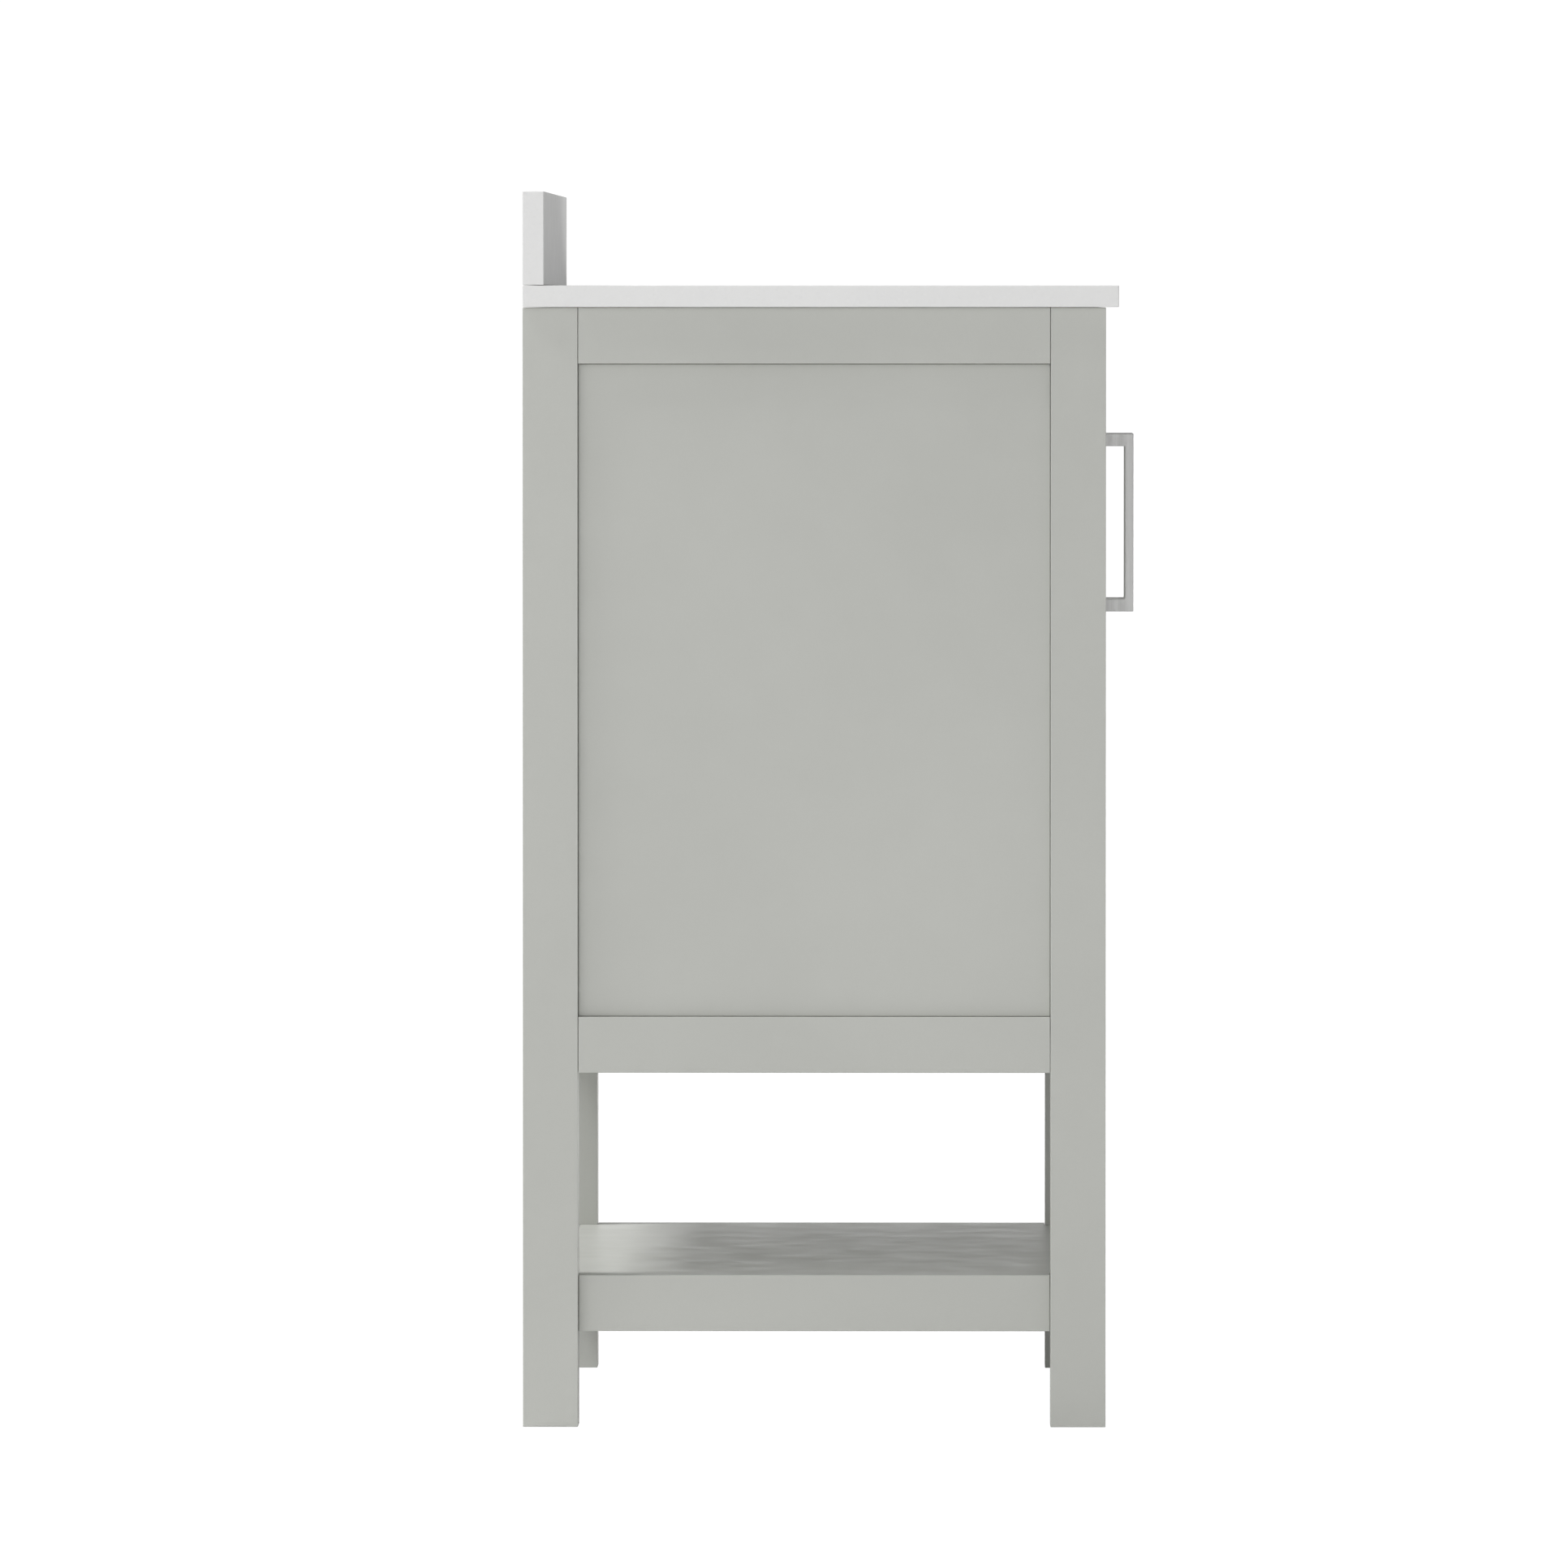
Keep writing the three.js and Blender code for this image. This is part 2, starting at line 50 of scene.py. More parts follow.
# Sizes that the frame's boxes don't give
SEAM = 0.3 * MM  # between two pieces that meet
WOOD_EDGE = 0.5 * MM  # sanded edge of a board
STONE_EDGE = 0.7 * MM  # polished edge of the top
CORNER_SHARE = 1.25  # radius of an outline's corner, over the edge's
ARC_STEPS = 4  # segments in a rounded edge
SLIVER = 5e-15  # in square metres: a flat end leaves smaller triangles out


# ---------------------------------------------------------------- surfaces

def unit(vectors):
    """Each row divided by its own length."""
    return vectors / np.linalg.norm(vectors, axis=-1, keepdims=True)


def outline(corners, radius, steps=ARC_STEPS):
    """Anticlockwise closed outline with an arc in each corner: its points and their outward normals.

    An arc's centre is the corner, less the radius times the sum of the two edge normals over one plus
    their dot product. Its points are the centre plus the radius times a normal that turns evenly from
    the first edge's to the second's; in a hollow corner both signs change.
    """
    corners = np.asarray(corners, float)
    arriving = unit(corners - np.roll(corners, 1, 0))
    leaving = np.roll(arriving, -1, 0)
    first = np.column_stack([arriving[:, 1], -arriving[:, 0]])
    second = np.column_stack([leaving[:, 1], -leaving[:, 0]])
    dot = (first * second).sum(1, keepdims=True)
    turn = np.arctan2(first[:, :1] * second[:, 1:] - first[:, 1:] * second[:, :1], dot)
    signed_radius = np.sign(turn) * radius
    centre = corners - signed_radius * (first + second) / (1 + dot)
    angle = np.arctan2(first[:, 1:], first[:, :1]) + turn * np.linspace(0, 1, steps + 1)
    normals = np.stack([np.cos(angle), np.sin(angle)], -1)
    points = centre[:, None] + signed_radius[:, :, None] * normals
    return points.reshape(-1, 2), normals.reshape(-1, 2)


def rectangle(low, high, radius, steps=ARC_STEPS):
    """Rounded rectangle between two corners."""
    (u0, v0), (u1, v1) = low, high
    return outline([(u0, v0), (u1, v0), (u1, v1), (u0, v1)], radius, steps)


def circle(u, v, radius, count=48):
    """Points at even angles: the centre plus the radius times (cosine, sine)."""
    angle = np.arange(count) * math.tau / count
    normals = np.column_stack([np.cos(angle), np.sin(angle)])
    return np.array([u, v]) + radius * normals, normals


def hole(loop):
    """The same loop run the other way, with its normals turned inwards."""
    points, normals = loop
    return points[::-1], -normals[::-1]


def with_third(flat, along):
    """Adds the third coordinate to an array of pairs."""
    third = np.broadcast_to(along, flat.shape[:-1] + (1,))
    return np.concatenate([flat, third], -1)


def faces_between(rows, next_rows):
    """Four-cornered faces from each row of point numbers to the next, closed along the row."""
    corners = [rows, np.roll(rows, -1, 1), np.roll(next_rows, -1, 1), next_rows]
    return np.stack(corners, -1).reshape(-1, 4).tolist()


# Each row of three: the directions of an outline's u and v, and the way it's carried
DIRECTIONS = {
    "+x": [(0, 1, 0), (0, 0, 1), (1, 0, 0)],
    "+y": [(0, 0, 1), (1, 0, 0), (0, 1, 0)],
    "+z": [(1, 0, 0), (0, 1, 0), (0, 0, 1)],
    "-x": [(0, 0, 1), (0, 1, 0), (-1, 0, 0)],
}


class Shell:
    """Grids of points with their normals, gathered to become one mesh."""

    def __init__(self):
        self.points, self.normals, self.faces, self.count = [], [], [], 0

    def wall(self, loop, start, end, edge, toward="+z", steps=ARC_STEPS):
        """A loop carried from start to end, with both ends rounded.

        An angle a runs from -90 to 90 degrees with a jump at 0. The loop moves inwards by
        edge * (1 - cos a), stands edge * (1 - |sin a|) from the nearer end, and its normal is tilted by a.
        """
        flat, flat_normals = loop
        quarter = np.linspace(0, math.pi / 2, steps + 1)
        angle = np.concatenate([-quarter[::-1], quarter])[:, None, None]
        size = np.repeat(np.broadcast_to(edge, 2), steps + 1)[:, None, None]
        base = np.repeat([start, end], steps + 1)[:, None, None]
        sign = np.repeat([1, -1], steps + 1)[:, None, None]
        along = base + sign * size * (1 - np.abs(np.sin(angle)))
        inset = size * (1 - np.cos(angle))
        axes = np.array(DIRECTIONS[toward], float)
        points = with_third(flat - inset * flat_normals, along) @ axes
        normals = with_third(np.cos(angle) * flat_normals, np.sin(angle)) @ axes
        rows, columns = points.shape[:2]
        index = self.count + np.arange(rows * columns).reshape(rows, columns)
        self.faces += faces_between(index[:-1], index[1:])
        self.points.append(points.reshape(-1, 3))
        self.normals.append(normals.reshape(-1, 3))
        self.count += rows * columns
        return index[0], index[-1]

    def cap(self, loops, facing):
        """Fills the plane between closed loops of the shell's points, the first one outermost."""
        order = np.concatenate(loops)
        everything = np.concatenate(self.points)
        rings = [[Vector(p) for p in everything[loop]] for loop in loops]
        triangles = np.array(tessellate_polygon(rings))
        corner = everything[order[triangles]]
        across = np.cross(corner[:, 1] - corner[:, 0], corner[:, 2] - corner[:, 0])
        area = across @ np.array(facing, float) / 2
        triangles[area < 0] = triangles[area < 0][:, ::-1]
        self.faces += order[triangles[np.abs(area) > SLIVER]].tolist()

    def solid(self, loops, start, end, edge, toward="+z"):
        """A plate or bar: an outline, any holes in it, and its two flat ends."""
        rings = [self.wall(loop, start, end, edge, toward) for loop in loops]
        facing = np.array(DIRECTIONS[toward][2], float)
        self.cap([ring[0] for ring in rings], -facing)
        self.cap([ring[1] for ring in rings], facing)

    def block(self, low, high, edge):
        """A box with rounded edges."""
        self.solid([rectangle(low[:2], high[:2], CORNER_SHARE * edge)], low[2], high[2], edge)

    def piece(self, name, body, finish, slot, *replaced):
        """Makes the finished piece, riding on its body and standing for the CAD nodes it replaces."""
        mesh = bpy.data.meshes.new(name)
        mesh.from_pydata(np.concatenate(self.points), [], self.faces)
        mesh.polygons.foreach_set("use_smooth", np.ones(len(mesh.polygons), bool))
        mesh.update()
        mesh.normals_split_custom_set_from_vertices(np.concatenate(self.normals))
        add_piece(name, mesh, body, finish, slot, *replaced)


def add_piece(name, mesh, body, finish, slot, *replaced):
    """Puts a mesh in the scene as a piece of the object."""
    made = bpy.data.objects.new(name, mesh)
    bpy.context.scene.collection.objects.link(made)
    mesh.materials.append(finish)
    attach(made, body)
    if replaced:
        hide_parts(*replaced)
    return made


# ---------------------------------------------------------------- finishes

def new_finish(name, **sockets):
    """A material whose constants sit on the shader's own sockets."""
    finish = bpy.data.materials.new(name)
    finish.use_nodes = True
    for socket, value in sockets.items():
        shader_of(finish).inputs[socket.replace("_", " ")].default_value = value
    return finish


def shader_of(finish):
    """The shader that the material's surface comes from."""
    return finish.node_tree.nodes["Principled BSDF"]


def feed(finish, socket, value):
    """Gives a socket a number, a colour or another node's output."""
    if isinstance(value, bpy.types.NodeSocket):
        finish.node_tree.links.new(value, socket)
    else:
        socket.default_value = value


def node(finish, kind, settings=None, **inputs):
    """Adds a node with its settings and inputs."""
    made = finish.node_tree.nodes.new(kind)
    for setting, value in (settings or {}).items():
        setattr(made, setting, value)
    for name, value in inputs.items():
        feed(finish, made.inputs[name.replace("_", " ")], value)
    return made


def wire(finish, **outputs):
    """Joins outputs to the shader's sockets."""
    for socket, value in outputs.items():
        feed(finish, shader_of(finish).inputs[socket.replace("_", " ")], value)


def stretched(finish, scale=(1, 1, 1), turn=(0, 0, 0)):
    """Object coordinates in metres, multiplied along each axis and then turned."""
    place = node(finish, "ShaderNodeTexCoord").outputs["Object"]
    return node(finish, "ShaderNodeMapping", Vector=place, Scale=scale, Rotation=turn).outputs["Vector"]


def noise(finish, scale, detail=2.0, roughness=0.5, stretch=(1, 1, 1), turn=(0, 0, 0)):
    """Noise whose features are about 1/scale metres wide."""
    where = stretched(finish, stretch, turn)
    return node(
        finish, "ShaderNodeTexNoise", Vector=where, Scale=scale, Detail=detail, Roughness=roughness,
    ).outputs["Fac"]


def cell_number(finish, scale, channel):
    """A random number for each cell of a pattern whose cells are about 1/scale metres wide."""
    cells = node(finish, "ShaderNodeTexVoronoi", Vector=stretched(finish), Scale=scale)
    return node(finish, "ShaderNodeSeparateColor", Color=cells.outputs["Color"]).outputs[channel]


def remap(finish, value, low, high, to_low, to_high):
    """Maps low..high to to_low..to_high and holds the ends."""
    return node(
        finish, "ShaderNodeMapRange",
        Value=value, From_Min=low, From_Max=high, To_Min=to_low, To_Max=to_high,
    ).outputs["Result"]


def blended(finish, share, first, second):
    """Mixes two colours, each a colour or another node's output."""
    made = node(finish, "ShaderNodeMix", {"data_type": "RGBA"})
    share_input, first_input, second_input, colour_output = 0, 6, 7, 2
    feed(finish, made.inputs[share_input], share)
    feed(finish, made.inputs[first_input], first)
    feed(finish, made.inputs[second_input], second)
    return made.outputs[colour_output]


def bumps(finish, *layers):
    """Bump nodes in a row; a layer is its height and its depth in metres."""
    normal = None
    for height, depth in layers:
        made = node(finish, "ShaderNodeBump", Height=height, Distance=depth)
        if normal is not None:
            feed(finish, made.inputs["Normal"], normal)
        normal = made.outputs["Normal"]
    wire(finish, Normal=normal)


def make_paint():
    """Sprayed satin lacquer: even colour, fine orange peel, slight differences in sheen."""
    light, dark, fleck = (0.545, 0.552, 0.518, 1), (0.515, 0.522, 0.489, 1), (0.47, 0.475, 0.45, 1)
    finish = new_finish("satin_paint", Specular_IOR_Level=0.45)
    base = blended(finish, remap(finish, noise(finish, 3.0, 3), 0.35, 0.65, 0, 1), dark, light)
    flecks = remap(finish, noise(finish, 900, 2, 0.6), 0.45, 0.75, 0, 0.16)
    wire(finish, Base_Color=blended(finish, flecks, base, fleck))
    wire(finish, Roughness=remap(finish, noise(finish, 25, 3), 0.3, 0.7, 0.40, 0.50))
    bumps(
        finish,
        (noise(finish, 16, 2), 0.10 * MM),
        (noise(finish, 420, 2, 0.4), 0.022 * MM),
        (noise(finish, 2600, 1), 0.003 * MM),
    )
    return finish


def make_stone():
    """Engineered white stone: crushed grains under a polish, with a faint cloudiness."""
    white, cloud = (0.80, 0.80, 0.795, 1), (0.775, 0.775, 0.769, 1)
    dark_grain, bright_grain = (0.68, 0.68, 0.675, 1), (0.87, 0.87, 0.865, 1)
    finish = new_finish("white_stone", Specular_IOR_Level=0.5)
    base = blended(finish, remap(finish, noise(finish, 7, 2, 0.4), 0.2, 0.8, 0, 1), white, cloud)
    number = cell_number(finish, 520.0, "Red")
    grains = blended(finish, remap(finish, number, 0.8, 1.0, 0, 0.11), base, dark_grain)
    both = blended(finish, remap(finish, number, 0.0, 0.14, 0.12, 0), grains, bright_grain)
    wire(finish, Base_Color=both)
    wire(finish, Roughness=remap(finish, noise(finish, 60, 3), 0.3, 0.7, 0.235, 0.265))
    bumps(finish, (noise(finish, 12, 1), 0.008 * MM), (noise(finish, 1500, 1), 0.0003 * MM))
    return finish


def make_ceramic():
    """Glazed fireclay: a clear coat over white, slightly wavy where the glaze flowed."""
    white, cream, pinhole = (0.86, 0.86, 0.845, 1), (0.82, 0.82, 0.805, 1), (0.6, 0.59, 0.56, 1)
    finish = new_finish("glazed_ceramic", Coat_Weight=1.0, Coat_Roughness=0.04, Specular_IOR_Level=0.5)
    base = blended(finish, remap(finish, noise(finish, 6, 3), 0.35, 0.65, 0, 1), white, cream)
    pinholes = remap(finish, noise(finish, 700, 1), 0.74, 0.80, 0, 0.4)
    wire(finish, Base_Color=blended(finish, pinholes, base, pinhole))
    wire(finish, Roughness=remap(finish, noise(finish, 40, 2), 0.3, 0.7, 0.10, 0.17))
    bumps(finish, (noise(finish, 14, 1), 0.25 * MM), (noise(finish, 90, 2), 0.02 * MM))
    return finish


def make_nickel(name, stretch, colour, roughness):
    """Brushed nickel: fine scratches run along the axis that is multiplied least."""
    finish = new_finish(name, Metallic=1.0)
    scratches = noise(finish, 1.0, 4, 0.65, stretch)
    broad = noise(finish, 1.0, 2, 0.5, tuple(0.12 * s for s in stretch))
    darker = tuple(0.88 * c for c in colour[:3]) + (1,)
    wire(finish, Base_Color=blended(finish, remap(finish, scratches, 0.3, 0.7, 0, 1), darker, colour))
    wire(finish, Roughness=remap(finish, broad, 0.3, 0.7, roughness - 0.05, roughness + 0.07))
    bumps(finish, (scratches, 0.012 * MM), (noise(finish, 180, 2), 0.01 * MM))
    return finish


def make_zinc():
    """Bright zinc plate: small crystals of slightly different grey and sheen."""
    finish = new_finish("zinc_plate", Metallic=1.0)
    number = cell_number(finish, 700.0, "Green")
    wire(finish, Base_Color=blended(finish, number, (0.47, 0.48, 0.50, 1), (0.60, 0.60, 0.61, 1)))
    wire(finish, Roughness=remap(finish, noise(finish, 240, 2), 0.3, 0.7, 0.26, 0.40))
    bumps(finish, (noise(finish, 1200, 2), 0.004 * MM))
    return finish


def make_birch(degrees):
    """Planed birch: growth rings that lean by an angle about Z, and short pores along X."""
    early, late = (0.60, 0.44, 0.26, 1), (0.50, 0.34, 0.185, 1)
    pale, pore = (0.66, 0.52, 0.34, 1), (0.30, 0.19, 0.10, 1)
    stretch, turn = (3, 42, 42), (0, 0, math.radians(degrees))
    finish = new_finish("birch_block", Specular_IOR_Level=0.3)
    rings = node(
        finish, "ShaderNodeTexWave", {"wave_type": "BANDS", "bands_direction": "Y"},
        Vector=stretched(finish, stretch, turn), Scale=1.3, Distortion=5.0, Detail=2.0, Detail_Scale=1.2,
    ).outputs["Fac"]
    base = blended(finish, rings, early, late)
    drift = remap(finish, noise(finish, 1.0, 3, 0.5, stretch, turn), 0.35, 0.65, 0, 0.35)
    shaded = blended(finish, drift, base, pale)
    pores = noise(finish, 1.0, 2, 0.6, (120, 2600, 2600), turn)
    wire(finish, Base_Color=blended(finish, remap(finish, pores, 0.62, 0.75, 0, 0.6), shaded, pore))
    wire(finish, Roughness=remap(finish, rings, 0, 1, 0.58, 0.72))
    bumps(finish, (rings, 0.03 * MM), (pores, 0.03 * MM))
    return finish


def make_plastic(name, light, dark):
    """Moulded plastic with a fine spark-eroded texture."""
    finish = new_finish(name, Specular_IOR_Level=0.45)
    shade = remap(finish, noise(finish, 60, 3), 0.3, 0.7, 0, 1)
    wire(finish, Base_Color=blended(finish, shade, dark, light))
    wire(finish, Roughness=remap(finish, noise(finish, 300, 2), 0.3, 0.7, 0.45, 0.58))
    bumps(finish, (noise(finish, 1800, 2), 0.012 * MM))
    return finish


paint = make_paint()
stone = make_stone()
ceramic = make_ceramic()
bar_nickel = make_nickel("brushed_nickel_bar", (2600, 2600, 22), (0.65, 0.65, 0.647, 1), 0.42)
leaf_nickel = make_nickel("brushed_nickel_hinge", (2600, 2600, 60), (0.66, 0.65, 0.635, 1), 0.36)
zinc = make_zinc()
catch_white = make_plastic("catch_plastic", (0.74, 0.73, 0.69, 1), (0.70, 0.69, 0.65, 1))
ferrite = make_plastic("magnet_ferrite", (0.055, 0.055, 0.058, 1), (0.035, 0.035, 0.038, 1))
birch_rising = make_birch(-45)
birch_falling = make_birch(45)


# ---------------------------------------------------------------- cabinet

PIPE_HALF_WIDTH = 210 * MM  # the opening in the back for the pipes
PIPE_BOTTOM, PIPE_TOP = 445 * MM, 695 * MM
PIPE_CORNER = 20 * MM


def boards():
    """Legs, rails, side panels and backsplash: plain boards that fill their places."""
    names = [f"{side}_{end}_leg" for side, _ in SIDES for end, _ in ENDS]
    for level in ("top", "middle", "shelf"):
        names += [f"{place}_{level}_rail" for place in ("front", "back", "left_side", "right_side")]
    names += ["left_side_panel", "right_side_panel"]
    for name in names:
        board = Shell()
        board.block(*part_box(name), WOOD_EDGE)
        board.piece(f"{name}_board", "cabinet", paint, "paint", name)
    slab = Shell()
    slab.block(*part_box("backsplash"), STONE_EDGE)
    slab.piece("backsplash_slab", "cabinet", stone, "stone", "backsplash")


def notched_board(name):
    """A level board cut out round the four legs."""
    low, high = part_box(name)
    leg_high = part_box("left_front_leg")[1]
    back_leg_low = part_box("left_back_leg")[0]
    x0, x1 = low.x, leg_high.x + SEAM
    y0, y1, y2, y3 = low.y, leg_high.y + SEAM, back_leg_low.y - SEAM, high.y
    corners = [
        (x1, y0), (-x1, y0), (-x1, y1), (-x0, y1), (-x0, y2), (-x1, y2),
        (-x1, y3), (x1, y3), (x1, y2), (x0, y2), (x0, y1), (x1, y1),
    ]
    board = Shell()
    board.solid([outline(corners, CORNER_SHARE * WOOD_EDGE)], low.z, high.z, WOOD_EDGE)
    board.piece(f"{name}_board", "cabinet", paint, "paint", name)


def back_board():
    """The thin back with its round-cornered opening for the pipes."""
    low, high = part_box("back_panel")
    outer = rectangle((low.z, low.x), (high.z, high.x), CORNER_SHARE * WOOD_EDGE)
    opening = rectangle((PIPE_BOTTOM, -PIPE_HALF_WIDTH), (PIPE_TOP, PIPE_HALF_WIDTH), PIPE_CORNER, steps=10)
    board = Shell()
    board.solid([outer, hole(opening)], low.y, high.y, WOOD_EDGE, "+y")
    board.piece("back_panel_board", "cabinet", paint, "paint", "back_panel")


# ---------------------------------------------------------------- top and basin

BASIN_FLANGE = 20 * MM  # glued rim outside the opening
BASIN_RIM = 12 * MM  # thickness of the flange
BASIN_LIP = 1.5 * MM  # rounding of the flange's edge
BASIN_CORNER = 55 * MM
BASIN_WALL = 8 * MM
BASIN_CREASE = math.radians(38)  # a sharper bend isn't shaded smooth
DRAIN_RADIUS = 22.5 * MM
DRAIN_NECK = 18 * MM  # how far the neck hangs below the bowl
DRAIN_EDGE = 0.4 * MM
OVERFLOW_RADIUS = 9 * MM
OVERFLOW_DROP = 36 * MM  # from the top of the flange to the hole's centre
OVERFLOW_EDGE = 0.2 * MM
FAUCET_RADIUS = 17.5 * MM
FAUCET_SPACING = 101.6 * MM
FAUCET_SETBACK = 44 * MM  # from the backsplash to the hole centres


def sink_opening():
    """Centre along Y and half sizes of the opening, from the basin's own box."""
    low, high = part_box("basin")
    centre = (low + high) / 2
    half = (high - low) / 2
    return centre.y, half.x - BASIN_FLANGE, half.y - BASIN_FLANGE


def countertop():
    """Slab with polished edges, the sink opening and three faucet holes."""
    low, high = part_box("countertop")
    middle_y, half_width, half_depth = sink_opening()
    front_y, back_y = middle_y - half_depth, middle_y + half_depth
    opening = rectangle((-half_width, front_y), (half_width, back_y), BASIN_CORNER, steps=16)
    faucet_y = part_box("backsplash")[0].y - FAUCET_SETBACK
    loops = [rectangle(low[:2], high[:2], CORNER_SHARE * STONE_EDGE), hole(opening)]
    loops += [hole(circle(place * FAUCET_SPACING, faucet_y, FAUCET_RADIUS)) for place in (-1, 0, 1)]
    slab = Shell()
    slab.solid(loops, low.z, high.z, STONE_EDGE)
    slab.piece("countertop_slab", "cabinet", stone, "stone", "countertop")


def smooth_through(keys, steps):
    """Catmull-Rom curve: between two keys, a cubic whose end slopes are half the step across each key.

    It has so many steps between two keys, and ends on the last one.
    """
    padded = np.concatenate([keys[:1], keys, keys[-1:]])
    before, first, second, after = (padded[start:len(keys) - 1 + start, None] for start in range(4))
    t = np.linspace(0, 1, steps, endpoint=False)[None, :, None]
    linear = second - before
    square = 2 * before - 5 * first + 4 * second - after
    cubic = 3 * (first - second) + after - before
    curve = (2 * first + linear * t + square * t**2 + cubic * t**3) / 2
    return np.concatenate([curve.reshape(-1, keys.shape[1]), keys[-1:]])


def with_circle(radius, *rows):
    """Adds the circle's radius to rows of outward offset, share of the way to a circle, and depth."""
    return np.column_stack([rows, np.full(len(rows), radius)])


def basin_profile(deep):
    """The bowl's section: from its mouth down the inside, round the neck, up the outside, over the rim."""
    bowl = deep - DRAIN_NECK
    wall, rim, lip = BASIN_WALL, BASIN_RIM, BASIN_LIP
    drain, neck = DRAIN_RADIUS, DRAIN_RADIUS + BASIN_WALL
    mouth = with_circle(drain, (1 * MM, 0, 0.2 * MM), (0.3 * MM, 0, 0.9 * MM))
    inside = with_circle(
        drain,
        (0, 0, 3 * MM), (-1 * MM, 0, 0.12 * bowl), (-4 * MM, 0, 0.4 * bowl), (-8 * MM, 0.01, 0.64 * bowl),
        (-14 * MM, 0.04, 0.8 * bowl), (-20 * MM, 0.13, 0.9 * bowl), (-20 * MM, 0.34, 0.95 * bowl),
        (-20 * MM, 0.66, 0.975 * bowl), (-10 * MM, 0.9, 0.985 * bowl), (0, 0.985, 0.992 * bowl),
        (0, 1, bowl + 1.5 * MM),
    )
    neck_end = np.array([
        (0, 1, deep - DRAIN_EDGE, drain), (0, 1, deep, drain + DRAIN_EDGE),
        (0, 1, deep, neck - DRAIN_EDGE), (0, 1, deep - DRAIN_EDGE, neck),
    ])
    outside = with_circle(
        neck,
        (0, 1, bowl + 1.6 * wall), (0, 0.99, bowl + 1.1 * wall), (0, 0.95, bowl + 0.87 * wall),
        (-6 * MM, 0.8, bowl + 0.76 * wall), (-6 * MM, 0.6, bowl + 0.6 * wall),
        (-12 * MM, 0.3, 0.95 * bowl + wall), (-12 * MM, 0.1, 0.9 * bowl + wall),
        (-5 * MM, 0.02, 0.8 * bowl + 0.8 * wall), (0, 0, 0.66 * bowl + 0.5 * wall),
        (4 * MM, 0, 0.4 * bowl), (wall - 1 * MM, 0, 2 * rim), (wall, 0, 1.3 * rim),
        (wall + 2.5 * MM, 0, rim + 0.5 * MM),
    )
    edge = BASIN_FLANGE
    flange = with_circle(
        neck,
        (edge - lip, 0, rim), (edge - 0.3 * lip, 0, rim - 0.3 * lip), (edge, 0, rim - lip),
        (edge, 0, lip), (edge - 0.3 * lip, 0, 0.3 * lip), (edge - lip, 0, 0), (2.5 * MM, 0, 0),
    )
    inside, outside = smooth_through(inside, steps=6), smooth_through(outside, steps=5)
    return np.concatenate([mouth, inside, neck_end, outside, flange])


def basin_rings(profile, half_width, half_depth):
    """Level rings, one for each row of the profile.

    Each ring is a rounded rectangle whose half sizes and corner radius move from the opening's plus the
    offset to the circle's radius by that share. Its points lie at even angles in each corner and evenly
    along each side.
    """
    per_corner, per_side = 14, 7
    offset, share, depth, radius = profile.T[:, :, None]
    width, length, corner = [
        (start + offset) * (1 - share) + radius * share for start in (half_width, half_depth, BASIN_CORNER)
    ]
    column = np.arange(4 * per_corner)
    angle = ((column % per_corner + 0.5) / per_corner + column // per_corner) * math.pi / 2
    x = np.sign(np.cos(angle)) * (width - corner) + corner * np.cos(angle)
    y = np.sign(np.sin(angle)) * (length - corner) + corner * np.sin(angle)
    points = np.stack([x, y, -depth + 0 * x], -1)
    last_in_corner = (np.arange(4)[:, None] + 1) * per_corner - 1
    along_sides = last_in_corner + np.arange(1, per_side) / per_side
    place = np.sort(np.concatenate([column, along_sides.ravel()]))
    whole = np.floor(place).astype(int)
    part = (place - whole)[:, None]
    return (1 - part) * points[:, whole] + part * points[:, (whole + 1) % len(column)]


def basin():
    """Cast bowl with walls that draw in slowly, a dished floor, a drain neck and an overflow hole."""
    low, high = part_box("basin")
    middle_y, half_width, half_depth = sink_opening()
    rings = basin_rings(basin_profile(high.z - low.z), half_width, half_depth)
    rings += np.array([0, middle_y, high.z])
    points = rings.reshape(-1, 3)
    index = np.arange(len(points)).reshape(rings.shape[:2])
    mesh = bpy.data.meshes.new("basin_bowl")
    mesh.from_pydata(points, [], faces_between(index, np.roll(index, -1, 0)))
    bowl = add_piece("basin_bowl", mesh, "cabinet", ceramic, "ceramic", "basin")
    overflow = circle(high.z - OVERFLOW_DROP, 0, OVERFLOW_RADIUS)
    back_y = middle_y + half_depth
    before_wall, past_wall = back_y - 3 * BASIN_WALL, back_y + 2 * BASIN_WALL
    drill = Shell()
    drill.solid([overflow], before_wall, past_wall, OVERFLOW_EDGE, "+y")
    cut_away(bowl, drill)
    mesh.polygons.foreach_set("use_smooth", np.ones(len(mesh.polygons), bool))
    mesh.set_sharp_from_angle(angle=BASIN_CREASE)


def cut_away(made, tool):
    """Cuts a shell out of a piece and keeps the result as the piece's own mesh."""
    cutter_mesh = bpy.data.meshes.new("cutter")
    cutter_mesh.from_pydata(np.concatenate(tool.points), [], tool.faces)
    cutter = bpy.data.objects.new("cutter", cutter_mesh)
    bpy.context.scene.collection.objects.link(cutter)
    cut = made.modifiers.new("cut", "BOOLEAN")
    cut.object = cutter
    cut.operation = "DIFFERENCE"
    cut.solver = "EXACT"
    graph = bpy.context.evaluated_depsgraph_get()
    result = bpy.data.meshes.new_from_object(made.evaluated_get(graph))
    made.modifiers.clear()
    vertices = np.empty(len(result.vertices) * 3, np.float32)
    result.vertices.foreach_get("co", vertices)
    faces = [tuple(face.vertices) for face in result.polygons]
    made.data.clear_geometry()
    made.data.from_pydata(vertices.reshape(-1, 3), [], faces)
    bpy.data.meshes.remove(result)
    bpy.data.objects.remove(cutter)


# ---------------------------------------------------------------- fasteners

